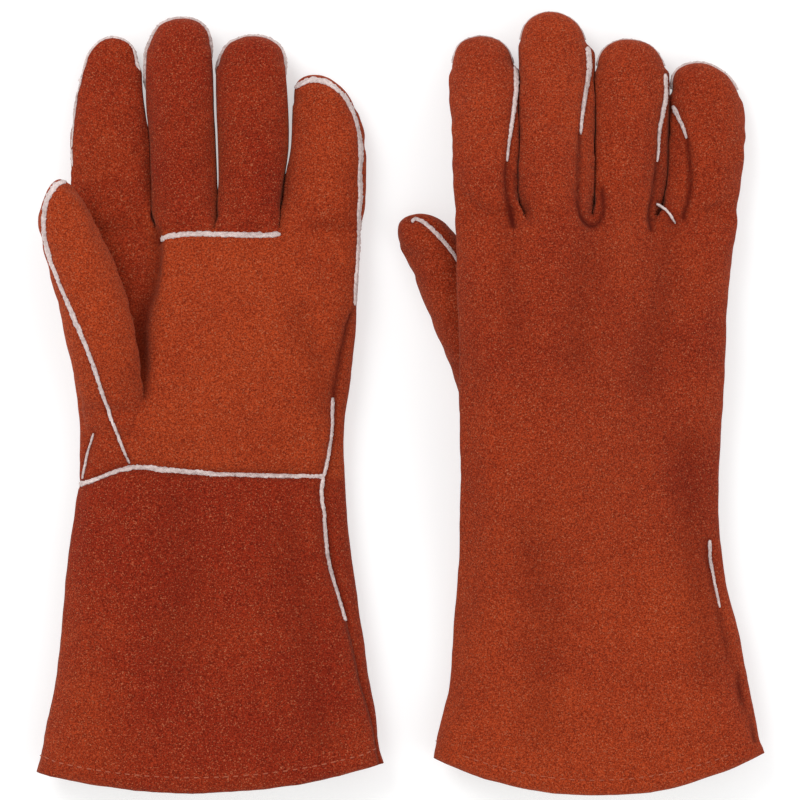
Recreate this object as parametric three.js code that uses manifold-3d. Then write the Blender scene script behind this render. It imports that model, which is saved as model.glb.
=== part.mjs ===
// A pair of gauntlet welding gloves lying side by side on a flat surface.
// Millimetres, +Z up, fingers toward +Y. The left glove lies palm up with its thumb folded over
// the palm, and the right glove lies palm down with its thumb under the hand.
import * as THREE from "three";
import Module from "manifold-3d";

const wasm = await Module();
wasm.setup();

// ---- driving sizes ----
const LEATHER = 1.6; // split cowhide
const LINING = 1.2; // cotton lining
const GAP = 0.35; // between neighbouring pieces
const LOOSE = 1.7; // the lining hangs this far inside the leather
const WELT_OUT = 1.5; // how far a welt stands proud of the leather
const WELT_HALF = 1.0; // half the thickness of a welt in its seam
const THUMB_LEVEL = 22.2; // underside of the left thumb, above the palm it lies on
const RIGHT_RAISE = 22; // how far the right hand is held up by the thumb under it
const INDEX_BEND = 103; // the index finger bends just past the tip of the folded thumb
const WRIST = -35; // the seam between hand and cuff
const WELT_END = -101; // the side welt ends partway down the cuff
const HEM_BOW = 10; // how far the hem curves out at its middle
const TIP_ROUND = 17; // length of the rounded end of a finger
const WALL_SEAM = -28; // degrees below the side: seam between back and side wall
const WALL_TOP = 36; // degrees above the side: seam between side wall and front
const ULNAR_SEAM = 38; // the back wraps round the little-finger side up to here
const RADIAL_SEAM = 8; // seam on the index-finger side

// Each section is [y, left edge, right edge, half-height on the palm side, on the back side].
const gloves = [
  {
    name: "left",
    palmUp: 1,
    knuckle: 78,
    cuff: [
      [-35, -146.4, -25.3, 13, 13],
      [-62, -149.6, -24.4, 13.5, 13.5],
      [-94, -153.7, -21, 14, 14.5],
      [-131, -157.4, -14.3, 15, 15.5],
      [-168, -164.4, -9.2, 16, 16],
    ],
    hand: [
      [-35, -146.4, -25.3, 13, 13],
      [-12, -144.8, -25.3, 13.5, 13.5],
      [32, -151.5, -20.1, 14.5, 14],
      [78, -151.5, -16.9, 12.5, 12],
    ],
    thumb: [
      [-12.6, -146, -119.6, 10.5, 10.5],
      [12, -149.2, -118.8, 11, 11],
      [45, -155.4, -123.3, 11, 11],
      [82, -165, -138.6, 10.5, 10.5],
      [99.2, -168, -144.5, 10, 10],
    ],
    fingers: {
      index: [
        [74, -150.6, -114.6, 10.5, 10.6],
        [103, -150.4, -115.5, 11.5, 11.5],
        [150, -147.4, -117.4, 11.5, 11.5],
        [165.9, -145, -116, 11, 11],
      ],
      middle: [
        [78, -112.6, -85.3, 12.5, 12],
        [120, -114.8, -86.2, 12, 12],
        [174, -116.8, -85.6, 11, 11.5],
      ],
      ring: [
        [78, -84.5, -55.3, 12.5, 12],
        [120, -83, -52.6, 12, 12],
        [165.9, -83.9, -51, 11, 11.5],
      ],
      little: [
        [78, -54.3, -17, 12, 12],
        [115, -48.8, -16.6, 11.5, 11.5],
        [148.2, -50.6, -22, 11, 11],
      ],
    },
  },
  {
    name: "right",
    palmUp: -1,
    knuckle: 83,
    cuff: [
      [-35, 27.3, 145.3, 13, 13],
      [-62, 27.2, 144.3, 13.5, 13.5],
      [-94, 25.8, 150.1, 14, 14.5],
      [-131, 23, 158.5, 15, 15.5],
      [-163, 16.4, 164.8, 16, 16],
    ],
    hand: [
      [-35, 27.3, 145.3, 13, 13],
      [-8, 26.7, 146.6, 13.5, 13.5],
      [43, 26, 149.6, 14.5, 14],
      [83, 25, 153.2, 12.5, 12],
    ],
    thumb: [
      [-12.6, 28, 55, 10.2, 10.2],
      [15, 22, 53, 10.5, 10.5],
      [50, 9.7, 41, 10.5, 10.5],
      [70, 0.2, 32, 10.2, 10.2],
      [83.5, -5.6, 24, 10, 10],
    ],
    fingers: {
      index: [
        [78, 25, 51.2, 12, 12],
        [103, 24.6, 51.4, 12, 12],
        [145, 22.6, 53.2, 11.5, 11.5],
        [163.9, 21.6, 53.2, 11, 11],
      ],
      middle: [
        [83, 52.4, 86.4, 12.5, 12],
        [120, 57.2, 86, 12, 12],
        [150, 56.6, 86, 12, 12],
        [176.1, 54.6, 84.6, 11, 11.5],
      ],
      ring: [
        [83, 88.8, 120.4, 12.5, 12],
        [120, 90.2, 120.2, 12, 12],
        [163.2, 89.2, 120.4, 11, 11.5],
      ],
      little: [
        [83, 123, 153.4, 12, 12],
        [125, 127, 157.4, 11.5, 11.5],
        [152.5, 124.4, 152.4, 11, 11],
      ],
    },
  },
];

// ---- shape helpers ----
const clamp01 = (v) => Math.min(1, Math.max(0, v));
const ease = (v) => clamp01(v) ** 2 * (3 - 2 * clamp01(v));
const lerp = (a, b, f) => a + (b - a) * f;

// The section at y, found between the two listed sections around it.
function sectionAt(list, y) {
  let i = 1;
  while (i < list.length - 1 && y > list[i][0]) i += 1;
  const [a, b] = [list[i - 1], list[i]];
  return a.map((v, k) => lerp(v, b[k], (y - a[0]) / (b[0] - a[0])));
}

// How far the right hand is raised over its own thumb, fading to the cuff, far edge and fingertips.
function raiseAt(tube, x, y) {
  if (!tube.raised) return 0;
  const across = ease((134 - x) / 76);
  return RIGHT_RAISE * across * ease((y + 120) / 104) * ease((172 - y) / 80);
}

// How far the left palm is pressed down under the folded thumb.
function dentAt(tube, x, y) {
  if (!tube.pressed) return 0;
  return 8 * ease((-98 - x) / 20) * ease((y + 34) / 18);
}

// A point of a tube: angle in degrees round the section, 0 at the right, 90 on the palm side.
// inset moves it inward, and at a closed end also back from the tip.
function point(tube, angle, yAt, inset) {
  const list = tube.sections;
  const y0 = tube.from ?? list[0][0];
  const y1 = list[list.length - 1][0];
  const [, left, right, palm, back] = sectionAt(list, yAt);
  let y = yAt;
  let shrink = 1;
  if (tube.tip) {
    const end = clamp01((yAt - (y1 - TIP_ROUND)) / TIP_ROUND);
    shrink = Math.sqrt(1 - 0.9 * end ** 2.5);
    y -= (inset * (yAt - y0)) / (y1 - y0);
  }
  const centre = (left + right) / 2;
  const half = ((right - left) / 2) * shrink - inset;
  const rad = (angle * Math.PI) / 180;
  const x = centre + half * Math.cos(rad);
  if (tube.bow) {
    const toHem = clamp01((y1 - y) / (y1 - y0));
    y -= tube.bow * toHem ** 3 * Math.sin(rad) ** 2;
  }
  const palmSide = Math.sin(rad) > 0;
  const full = palmSide ? palm - dentAt(tube, x, y) : back;
  const rise = Math.min(1, 1.06 * Math.abs(Math.sin(rad)) ** tube.flat);
  const off = (full * shrink - inset) * rise * (palmSide ? 1 : -1);
  const rest = tube.palmUp > 0 ? back : palm;
  const z = tube.level + rest + tube.palmUp * off + raiseAt(tube, x, y);
  return new THREE.Vector3(x, y, z);
}

// The angle that lies mm along the surface from another angle.
function angleBeyond(tube, angle, y, mm, direction) {
  let last = point(tube, angle, y, 0);
  let gone = 0;
  let at = angle;
  while (gone < mm) {
    at += direction * 0.5;
    const next = point(tube, at, y, 0);
    gone += next.distanceTo(last);
    last = next;
  }
  return at;
}

// A closed sheet from a grid of [outer point, inner point] pairs. wrap joins the last column
// to the first, for a sheet that goes all the way round.
function sheet(grid, wrap = false) {
  const rows = grid.length;
  const cols = grid[0].length;
  const vertices = [];
  grid.forEach((row) => row.forEach((pair) => pair.forEach((p) => vertices.push(p.x, p.y, p.z))));
  const id = (i, j, side) => (i * cols + (j % cols)) * 2 + side;
  const faces = [];
  const quad = (a, b, c, d) => faces.push(a, b, c, a, c, d);
  const spans = wrap ? cols : cols - 1;
  for (let i = 0; i < rows - 1; i += 1) {
    for (let j = 0; j < spans; j += 1) {
      quad(id(i, j, 0), id(i, j + 1, 0), id(i + 1, j + 1, 0), id(i + 1, j, 0));
      quad(id(i, j, 1), id(i + 1, j, 1), id(i + 1, j + 1, 1), id(i, j + 1, 1));
    }
  }
  for (let j = 0; j < spans; j += 1) {
    quad(id(0, j, 0), id(0, j, 1), id(0, j + 1, 1), id(0, j + 1, 0));
    const e = rows - 1;
    quad(id(e, j, 0), id(e, j + 1, 0), id(e, j + 1, 1), id(e, j, 1));
  }
  for (let i = 0; i < rows - 1 && !wrap; i += 1) {
    quad(id(i, 0, 0), id(i + 1, 0, 0), id(i + 1, 0, 1), id(i, 0, 1));
    const e = cols - 1;
    quad(id(i, e, 0), id(i, e, 1), id(i + 1, e, 1), id(i + 1, e, 0));
  }
  let volume = 0;
  const at = (k) => new THREE.Vector3().fromArray(vertices, k * 3);
  for (let k = 0; k < faces.length; k += 3) {
    volume += at(faces[k]).dot(at(faces[k + 1]).cross(at(faces[k + 2])));
  }
  if (volume < 0) {
    for (let k = 0; k < faces.length; k += 3) {
      [faces[k + 1], faces[k + 2]] = [faces[k + 2], faces[k + 1]];
    }
  }
  const mesh = new wasm.Mesh({
    numProp: 3,
    vertProperties: new Float32Array(vertices),
    triVerts: new Uint32Array(faces),
  });
  return new wasm.Manifold(mesh);
}

// A leather panel of a tube between two edges, each a function of y that gives an angle.
function panel(tube, rows, from, to, cols, outer = 0, inner = LEATHER) {
  const grid = rows.map((y) => {
    const [a, b] = [from(y), to(y)];
    return Array.from({ length: cols + 1 }, (_, j) => {
      const angle = lerp(a, b, j / cols);
      return [point(tube, angle, y, outer), point(tube, angle, y, inner)];
    });
  });
  return sheet(grid);
}

// A lining that goes all the way round a tube.
function liner(tube, rows, cols) {
  const outer = LEATHER + LOOSE;
  const grid = rows.map((y) =>
    Array.from({ length: cols }, (_, j) => {
      const angle = (360 * j) / cols + 4;
      return [point(tube, angle, y, outer), point(tube, angle, y, outer + LINING)];
    }),
  );
  return sheet(grid, true);
}

// The pair of points across a welt on one side of a tube.
function weltRow(tube, y, angle, upward) {
  const high = angleBeyond(tube, angle, y, WELT_HALF, upward);
  const low = angleBeyond(tube, angle, y, WELT_HALF, -upward);
  return [low, high].map((a) => [point(tube, a, y, -WELT_OUT), point(tube, a, y, LEATHER)]);
}

// ---- pieces ----
const suede = { color: 0x9b3b1f, roughness: 0.95 };
const welting = { color: 0xc9bdbb, roughness: 0.9 };
const cotton = { color: 0xd8ccb4, roughness: 0.95 };
const pair = new THREE.Group();
const box = new THREE.Box3();

function add(name, solid, look) {
  const made = solid.getMesh();
  const count = made.numVert;
  const positions = new Float32Array(count * 3);
  for (let i = 0; i < count; i += 1) {
    for (let k = 0; k < 3; k += 1) {
      positions[i * 3 + k] = made.vertProperties[i * made.numProp + k];
    }
  }
  const geometry = new THREE.BufferGeometry();
  geometry.setAttribute("position", new THREE.BufferAttribute(positions, 3));
  geometry.setIndex(new THREE.BufferAttribute(new Uint32Array(made.triVerts), 1));
  geometry.computeVertexNormals();
  const mesh = new THREE.Mesh(geometry, new THREE.MeshStandardMaterial(look));
  mesh.name = name;
  pair.add(mesh);
}

// A finger or thumb: front, back, welt round the edge and a side wall on each walled side.
function digit(name, tube, from, leftSeam, rightSeam, leftWall, rightWall) {
  const tip = tube.sections[tube.sections.length - 1][0];
  const straight = tip - TIP_ROUND;
  const wallEnd = straight - 4;
  const wallRows = [from, lerp(from, wallEnd, 0.36), lerp(from, wallEnd, 0.7), wallEnd];
  const rows = [...wallRows, straight, tip - 9.5, tip - 3.5, tip];
  const edge = WELT_HALF + GAP;
  // Where the front's edge lies, as an angle above the side: on the wall's top seam at first,
  // coming down to the welt past the wall's end.
  const wallTop = (y, seam) => lerp(WALL_TOP, seam + 22, ease((y - wallEnd + 30) / 30));
  const frontEdge = (y, seam, walled, right) => {
    const turn = right ? 1 : -1;
    const at = (a) => (right ? a : 180 - a);
    const low = angleBeyond(tube, at(seam), y, edge, turn);
    if (!walled || y > straight - 1) return low;
    return angleBeyond(tube, at(wallTop(y, seam)), y, GAP / 2, turn);
  };
  const front = panel(
    tube,
    rows,
    (y) => frontEdge(y, rightSeam, rightWall, true),
    (y) => frontEdge(y, leftSeam, leftWall, false),
    6,
  );
  add(name + "_front", front, suede);
  const back = panel(
    tube,
    rows,
    (y) => angleBeyond(tube, 180 - leftSeam, y, edge, 1),
    (y) => angleBeyond(tube, 360 + rightSeam, y, edge, -1),
    6,
  );
  add(name + "_back", back, suede);
  const up = rows.map((y) => weltRow(tube, y, 180 - leftSeam, -1));
  const down = rows.map((y) => weltRow(tube, y, rightSeam, 1)).reverse();
  add(name + "_welt", sheet([...up, ...down]), welting);
  [
    [leftWall, "_wall_a", (a) => 180 - a, -1, leftSeam],
    [rightWall, "_wall_b", (a) => a, 1, rightSeam],
  ].forEach(([walled, suffix, at, turn, seam]) => {
    if (!walled) return;
    const wall = panel(
      tube,
      wallRows,
      (y) => angleBeyond(tube, at(seam), y, edge, turn),
      (y) => angleBeyond(tube, at(wallTop(y, seam)), y, GAP / 2, -turn),
      2,
    );
    add(name + suffix, wall, suede);
  });
}

gloves.forEach((glove) => {
  const side = glove.name;
  const common = { palmUp: glove.palmUp, level: 0, raised: glove.palmUp < 0 };
  // The cuff, listed from wrist to hem. sectionAt reads upward in y, so turn it round.
  const cuffSections = [...glove.cuff].reverse();
  const hemY = cuffSections[0][0];
  const bowed = { ...common, sections: cuffSections, flat: 0.62, bow: HEM_BOW };
  const seamGap = (y) => (y > WELT_END - 1 ? WELT_HALF + GAP : GAP / 2);
  const cuffRows = [WRIST - 3, -66, WELT_END, WELT_END - 3, -126, -148, hemY];
  const ulnar = (tube) => (y) => angleBeyond(tube, ULNAR_SEAM, y, seamGap(y), 1);
  const ulnarBack = (tube) => (y) => angleBeyond(tube, 360 + ULNAR_SEAM, y, seamGap(y), -1);
  const radial = (tube) => (y) => angleBeyond(tube, 180 - RADIAL_SEAM, y, GAP / 2, -1);
  const radialBack = (tube) => (y) => angleBeyond(tube, 180 - RADIAL_SEAM, y, GAP / 2, 1);
  add(side + "_cuff_front", panel(bowed, cuffRows, ulnar(bowed), radial(bowed), 9), suede);
  const backRows = [WRIST - GAP, ...cuffRows];
  const cuffBack = panel(bowed, backRows, radialBack(bowed), ulnarBack(bowed), 16);
  add(side + "_cuff_back", cuffBack, suede);
  const liningRows = [WRIST - 6, -66, WELT_END, -126, -148, hemY + 8];
  add(side + "_cuff_lining", liner(bowed, liningRows, 26), cotton);
  const weltRows = cuffRows.slice(0, 3).map((y) => weltRow(bowed, y, ULNAR_SEAM, 1));
  add(side + "_side_welt", sheet(weltRows), welting);

  // The welt across the palm side of the wrist.
  const wristEdge = (y, angle) => [
    point(bowed, angle, y, -WELT_OUT),
    point(bowed, angle, y, LEATHER),
  ];
  const across = Array.from({ length: 11 }, (_, i) => lerp(44, 168, i / 10));
  const wristWelt = across.map((a) => [wristEdge(WRIST - 2.6, a), wristEdge(WRIST - 0.6, a)]);
  add(side + "_wrist_welt", sheet(wristWelt), welting);

  // The hand, with the root of the index finger up to where it bends.
  const hand = { ...common, sections: glove.hand, flat: 0.62, pressed: glove.palmUp > 0 };
  const top = glove.knuckle;
  const handRows = [WRIST + 0.2, -14, 8, 30, 54, top - GAP / 2];
  const palmFrom = (y) => angleBeyond(hand, ULNAR_SEAM, y, GAP / 2, 1);
  const palmTo = (y) => angleBeyond(hand, 180 - RADIAL_SEAM, y, GAP / 2, -1);
  const backFrom = (y) => angleBeyond(hand, 180 - RADIAL_SEAM, y, GAP / 2, 1);
  const backTo = (y) => angleBeyond(hand, 360 + ULNAR_SEAM, y, GAP / 2, -1);
  const rootTube = { ...common, sections: glove.fingers.index, flat: 0.7 };
  const rootRows = [top - 3.4, lerp(top, INDEX_BEND, 0.5), INDEX_BEND - GAP / 2];
  const rootFront = panel(
    rootTube,
    rootRows,
    (y) => angleBeyond(rootTube, WALL_TOP, y, GAP / 2, 1),
    (y) => angleBeyond(rootTube, 180 - RADIAL_SEAM, y, GAP / 2, -1),
    7,
  );
  const rootBack = panel(
    rootTube,
    rootRows,
    (y) => angleBeyond(rootTube, 180 - RADIAL_SEAM, y, GAP / 2, 1),
    (y) => angleBeyond(rootTube, 360 + WALL_TOP, y, GAP / 2, -1),
    10,
  );
  const palm = panel(hand, handRows, palmFrom, palmTo, 12);
  const back = panel(hand, handRows, backFrom, backTo, 14);
  add(side + "_palm", palm.add(rootFront.subtract(back)), suede);
  add(side + "_hand_back", back.add(rootBack.subtract(palm)), suede);
  add(side + "_hand_lining", liner(hand, [WRIST + 3, -14, 8, 30, 54, top - 6], 26), cotton);

  // The welt on the seam where the middle and ring fronts are set into the palm.
  const overPalm = Array.from({ length: 8 }, (_, i) => lerp(64, 115, i / 7));
  const baseWelt = overPalm.map((a) =>
    [top - 5, top - 2.4].map((y) => [
      point(hand, a, y, -2 * GAP - 1.8),
      point(hand, a, y, -2 * GAP),
    ]),
  );
  add(side + "_finger_base_welt", sheet(baseWelt), welting);

  // Fingers. The outer sides of the index and little fingers fold round without a wall.
  const finger = (name, from, leftSeam, rightSeam, leftWall, rightWall) => {
    const tube = { ...common, sections: glove.fingers[name], flat: 0.7, tip: true, from };
    digit(side + "_" + name, tube, from, leftSeam, rightSeam, leftWall, rightWall);
  };
  finger("index", INDEX_BEND + GAP / 2, RADIAL_SEAM, WALL_SEAM, false, true);
  finger("middle", top + GAP / 2, WALL_SEAM, WALL_SEAM, true, true);
  finger("ring", top + GAP / 2, WALL_SEAM, WALL_SEAM, true, true);
  finger("little", top + GAP / 2, WALL_SEAM, ULNAR_SEAM, true, false);

  const level = glove.palmUp > 0 ? THUMB_LEVEL : 0;
  const thumb = { ...common, raised: false, level, sections: glove.thumb, flat: 0.7, tip: true };
  digit(side + "_thumb", thumb, glove.thumb[0][0], 30, -20, false, false);
});

// Stand the pair on z = 0, centred on the origin.
pair.updateMatrixWorld(true);
box.setFromObject(pair);
const middle = box.getCenter(new THREE.Vector3());
pair.position.set(-middle.x, -middle.y, -box.min.z);

export default pair;
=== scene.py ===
import math

import bmesh
import bpy
import numpy as np
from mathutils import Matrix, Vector, noise
from mathutils.bvhtree import BVHTree
from mathutils.kdtree import KDTree


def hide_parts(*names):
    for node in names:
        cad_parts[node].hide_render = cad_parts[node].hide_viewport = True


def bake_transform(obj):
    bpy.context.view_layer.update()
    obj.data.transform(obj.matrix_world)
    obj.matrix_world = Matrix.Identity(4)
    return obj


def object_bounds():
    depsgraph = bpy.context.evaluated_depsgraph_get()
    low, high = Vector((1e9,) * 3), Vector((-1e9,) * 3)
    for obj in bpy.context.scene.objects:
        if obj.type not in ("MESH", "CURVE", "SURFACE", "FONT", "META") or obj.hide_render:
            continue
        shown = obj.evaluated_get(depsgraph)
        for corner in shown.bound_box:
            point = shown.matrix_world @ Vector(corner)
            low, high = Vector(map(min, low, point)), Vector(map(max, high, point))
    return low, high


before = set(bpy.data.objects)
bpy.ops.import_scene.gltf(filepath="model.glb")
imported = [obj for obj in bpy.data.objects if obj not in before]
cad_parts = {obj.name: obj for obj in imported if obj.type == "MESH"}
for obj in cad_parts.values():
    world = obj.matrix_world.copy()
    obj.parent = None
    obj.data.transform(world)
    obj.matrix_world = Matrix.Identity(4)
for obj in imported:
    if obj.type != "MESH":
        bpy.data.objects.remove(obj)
CAD_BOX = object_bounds()

# The CAD's own layout is in millimetres about a point this far from the row's origin.
low, high = CAD_BOX
MID = (np.array(low) + np.array(high)) / 2 * 1000
SHIFT = np.array([MID[0] + 0.636, MID[1] + 0.165, 0.0])

LEATHER = 1.6
STEP = 3.3  # size of the skin's faces before they are divided
DOME, FLATNESS = 0.6, 2.6  # how round a section is
RIGHT_RAISE = 22  # how far the right hand is raised by its thumb
THUMB_PRESS = 8.6  # how far the left palm is pressed down by its thumb
CLOTH_FRAMES = 18
MOST_MOVED = 2.6  # by the cloth
SEAM_STEP = 0.8  # between the points of a seam
ROOT_LENGTH, SUNK = 12, 2.2  # where a thumb's root is cut away, and how far in it lies there
LINING_DEPTH = 2.4
LINING_EDGE, LINING_END = 4.2, 8  # from the hem, and from the crotches
HEM_STITCHES = 7.8  # from the hem
TIP = 17.0  # length of a fingertip's round end
INDEX_BEND = 103.0  # where the index finger leaves the hand

# ---------------------------------------------------------------- measurements, in millimetres
# Outlines are [y, left, right]. The left glove lies palm up and the right glove palm down.
LEFT = {
    "side": "left",
    "up": 1,
    "crotch": 78.0,
    "hem": (-169.6, -165.6, 10.6),
    "body": [
        [-172, -167.8, -6.8], [-150, -163.8, -8.0], [-131, -159.8, -10.4], [-94, -156.0, -16.0],
        [-62, -152.4, -21.0], [-37, -149.6, -22.6], [-10, -148.2, -22.0], [21, -152.4, -18.4],
        [50, -152.6, -16.6], [78, -152.0, -16.6],
    ],
    "palm_height": [[-180, 16], [-131, 15], [-62, 13.5], [-35, 12.6], [0, 13.8], [32, 14.8], [78, 12.5]],
    "back_height": [[-180, 16], [-131, 15.5], [-62, 13.5], [-35, 12.6], [0, 13.5], [32, 14], [78, 12]],
    "fingers": [
        {"name": "index", "tip": 168.8, "edges": [[78, -151, -113.2], [100, -150.4, -115.4],
         [121, -150.4, -116.2], [140, -147.8, -118.4], [152, -145.4, -119.8], [168, -144.6, -118.6]]},
        {"name": "middle", "tip": 177.2, "edges": [[78, -112.8, -85.2], [100, -114.8, -84.7],
         [136, -116.2, -85.3], [154, -117.2, -86.0], [176, -116.0, -84.2]]},
        {"name": "ring", "tip": 168.8, "edges": [[78, -84.8, -55.0], [100, -83.8, -53.6],
         [119, -83.6, -52.0], [142, -84.6, -51.6], [168, -85.0, -50.6]]},
        {"name": "little", "tip": 151.4, "edges": [[78, -54.6, -17.2], [100, -52.0, -16.6],
         [113, -50.0, -16.6], [127, -49.2, -18.2], [150, -53.0, -26.5]]},
    ],
    "finger_height": {"index": 11.5, "middle": 12.3, "ring": 12.3, "little": 11.6},
    # y, left, right, middle height, half-thickness
    "thumb": [
        [-34, -141, -112, 11, 8.5], [-20, -144.5, -113, 14.5, 9.0], [-6, -147, -115, 19.6, 9.6],
        [10, -150.2, -117.6, 27, 10.4], [26, -154.4, -119.6, 31.6, 11], [45, -158.0, -123.3, 33.4, 11.3],
        [59, -161.6, -128.2, 33.2, 11.2], [71, -164.0, -133.4, 32.8, 11],
        [83, -165.0, -139.6, 32.6, 10.6], [92, -163.6, -143.4, 32.6, 10.4],
        [101, -161.5, -147.8, 32.4, 10],
    ],
    "thumb_tip": 102.2,
    # how far the thumb's welt lies in from the thumb's left outline
    "thumb_inset": [[-34, 19], [-20, 15.5], [-8, 11.5], [6, 10.6], [18, 11], [35, 8.6], [52, 5.4],
                    [66, 3.4], [101, 2.6]],
}
RIGHT = {
    "side": "right",
    "up": -1,
    "crotch": 83.0,
    "hem": (-163.2, -160.6, 17.6),
    "body": [
        [-172, 13.4, 169.2], [-150, 16.8, 166.6], [-131, 20.8, 163.2], [-112, 22.6, 159.8],
        [-88, 24.6, 153.8], [-62, 26.0, 149.8], [-37, 26.0, 149.2], [-8, 25.6, 151.0], [32, 25.2, 152.6],
        [83, 24.2, 155.4],
    ],
    "palm_height": [[-180, 16], [-131, 15], [-62, 13.5], [-35, 12.8], [0, 13.8], [32, 14.6], [83, 12.5]],
    "back_height": [[-180, 16], [-131, 15.5], [-62, 13.5], [-35, 12.8], [0, 13.5], [32, 14], [83, 12]],
    "fingers": [
        {"name": "index", "tip": 168.6, "edges": [[83, 25, 51.2], [100, 24.7, 52.6], [125, 23.6, 53.2],
         [145, 22.7, 55.0], [156, 23.2, 53.6], [166, 21.6, 52.8]]},
        {"name": "middle", "tip": 179.4, "edges": [[83, 51.4, 86.2], [100, 53.8, 87.6], [130, 55.2, 87.2],
         [145, 54.6, 87.6], [160, 53.8, 87.4], [178, 52.6, 85.4]]},
        {"name": "ring", "tip": 167.4, "edges": [[83, 86.8, 120.4], [100, 89.8, 120.2],
         [135, 90.2, 122.6], [150, 88.6, 123.2], [166, 87.4, 121.2]]},
        {"name": "little", "tip": 156.4, "edges": [[83, 121.0, 153.4], [100, 122.8, 155.4],
         [125, 125.0, 157.8], [138, 124.2, 156.6], [154, 120.6, 151.6]]},
    ],
    "finger_height": {"index": 11.7, "middle": 12.3, "ring": 12.0, "little": 11.6},
    "thumb": [
        [-34, 36, 62, 22, 8.5], [-20, 31, 60, 17, 9], [-8, 26.6, 57, 13, 9.6], [6, 24.6, 54.5, 11, 10.2],
        [18, 20.8, 51, 10.6, 10.4], [32, 15.0, 46.5, 10.6, 10.4], [50, 7.9, 40, 10.6, 10.4],
        [64, 2.8, 33.5, 10.4, 10.2], [75, -2.2, 27.5, 10.2, 10], [85, -5.4, 22.5, 10, 9.6],
    ],
    "thumb_tip": 86.8,
    "thumb_inset": [[-34, 3], [85, 3]],
}
GLOVES = {"left": LEFT, "right": RIGHT}


# ---------------------------------------------------------------- small helpers
def ease(v):
    v = min(1.0, max(0.0, v))
    return v * v * (3 - 2 * v)


def at(rows, y, k=1):
    """Smooth value k of a list of rows at y."""
    ys = [r[0] for r in rows]
    y = min(max(y, ys[0]), ys[-1])
    i = max(1, min(len(ys) - 1, sum(1 for v in ys if v <= y)))
    y0, y1 = ys[i - 1], ys[i]
    p0, p1 = rows[i - 1][k], rows[i][k]
    before = rows[i - 2] if i > 1 else rows[i - 1]
    after = rows[i + 1] if i + 1 < len(rows) else rows[i]
    m0 = (p1 - before[k]) / max(1e-6, y1 - before[0])
    m1 = (after[k] - p0) / max(1e-6, after[0] - y0)
    h = y1 - y0
    t = (y - y0) / h
    return ((2 * t**3 - 3 * t**2 + 1) * p0 + (t**3 - 2 * t**2 + t) * h * m0
            + (-2 * t**3 + 3 * t**2) * p1 + (t**3 - t**2) * h * m1)


def bell(distance, width):
    return math.exp(-((distance / width) ** 2))


def crown(u):
    """Height of a section at u, from -1 to 1 across it."""
    return max(0.0, 1 - abs(u) ** FLATNESS) ** DOME


def across(z):
    """How far across a section is at a share z of its height: the reverse of crown."""
    return max(0.0, 1 - min(1.0, abs(z)) ** (1 / DOME)) ** (1 / FLATNESS)


def raised(g, x, y):
    """The right hand lies over its own thumb, which holds it up."""
    if g["up"] > 0:
        return 0.0
    return RIGHT_RAISE * ease((134 - x) / 76) * ease((y + 120) / 104) * ease((172 - y) / 80)


def pressed(g, x, y):
    """The left palm is pressed down under the folded thumb."""
    if g["up"] < 0:
        return 0.0
    edge = -107 - 6 * ease((40 - y) / 60)
    return THUMB_PRESS * ease((edge - x) / 13) * ease((y + 8) / 40)


# ---------------------------------------------------------------- the skin of both gloves
def round_end(w, u):
    """A point of a digit's round end, w along and u across: its share of length, width and height."""
    reach = math.sqrt(max(0.0, u * u + w * w - u * u * w * w))
    return w * math.sqrt(1 - u * u / 2), u * math.sqrt(1 - w * w / 2), crown(reach)


class Skin:
    """Points by name, so that neighbouring grids share their edges, and labelled faces."""

    def __init__(self):
        self.index = {}
        self.points = []
        self.faces = []
        self.labels = []
        self.names = []
        self.pins = set()
        self.seams = []

    def point(self, key, make):
        """The number of the point called key. It is made when it is first asked for."""
        if key not in self.index:
            position = make()
            self.index[key] = len(self.points)
            self.points.append(position)
        return self.index[key]

    def label(self, name):
        if name not in self.names:
            self.names.append(name)
        return self.names.index(name)

    def face(self, corners, name):
        unique = list(dict.fromkeys(corners))
        if len(unique) >= 3:
            self.faces.append(unique)
            self.labels.append(self.label(name))


def section(g, x_left, x_right, palm, back, y, u, share, middle=None):
    """A point of a section. u is across; share is from 1 at the crown through 0 at the side to -1."""
    centre, half = (x_left + x_right) / 2, (x_right - x_left) / 2
    x = centre + half * u
    height = palm if share > 0 else back
    resting = (share > 0) == (g["up"] < 0)
    amount = abs(share)
    if resting:
        amount = min(1.0, amount * 1.12)
    if share > 0 and middle is None:
        height -= pressed(g, x, y)
    rest = (back if g["up"] > 0 else palm) if middle is None else middle
    z = rest + g["up"] * math.copysign(height * amount, share)
    if middle is None:
        z += raised(g, x, y)
    return (x, y, z)


# how much wider than its outline a finger starts, before its seams draw it in
WIDEN = 1.7  # on the left index finger's outer side
NARROW = 0.8  # on the other outer sides
PRESSED = 2.6  # on a side that lies against the next finger
WALL_TOP = 0.55  # where a side wall begins, as a share of the palm-side height
FLAT = 1e-9  # where top and bottom meet
THUMB_TIP = 15  # length of the thumb's round end
FINGER_CHANGE, THUMB_CHANGE = 26, 20  # the length over which a section changes near its end
ROOT_CHANGE = 15  # the length over which a finger grows out of the hand
SIDE_WELT_END, SIDE_WELT_TOP, LITTLE_START = -101, 1.5, 41  # along the little-finger side
THUMB_LOW, THUMB_RIGHT = 0.42, 0.2  # where the thumb's sides end, as a share of its height
TOP_COLUMNS = 10  # across one finger
THUMB_COLUMNS = 11  # across the thumb
TIP_ROWS = 6  # along the round end of a digit
SIDE_STEPS = 4  # down the side of a hand, a finger or the thumb
RADIAL = 0.1  # where the index-finger side seam lies, as a share of the palm-side height
BELOW = 0.6  # where the back begins, as a share of the back's height
WRIST = -35.0  # where the cuff meets the hand
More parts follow.
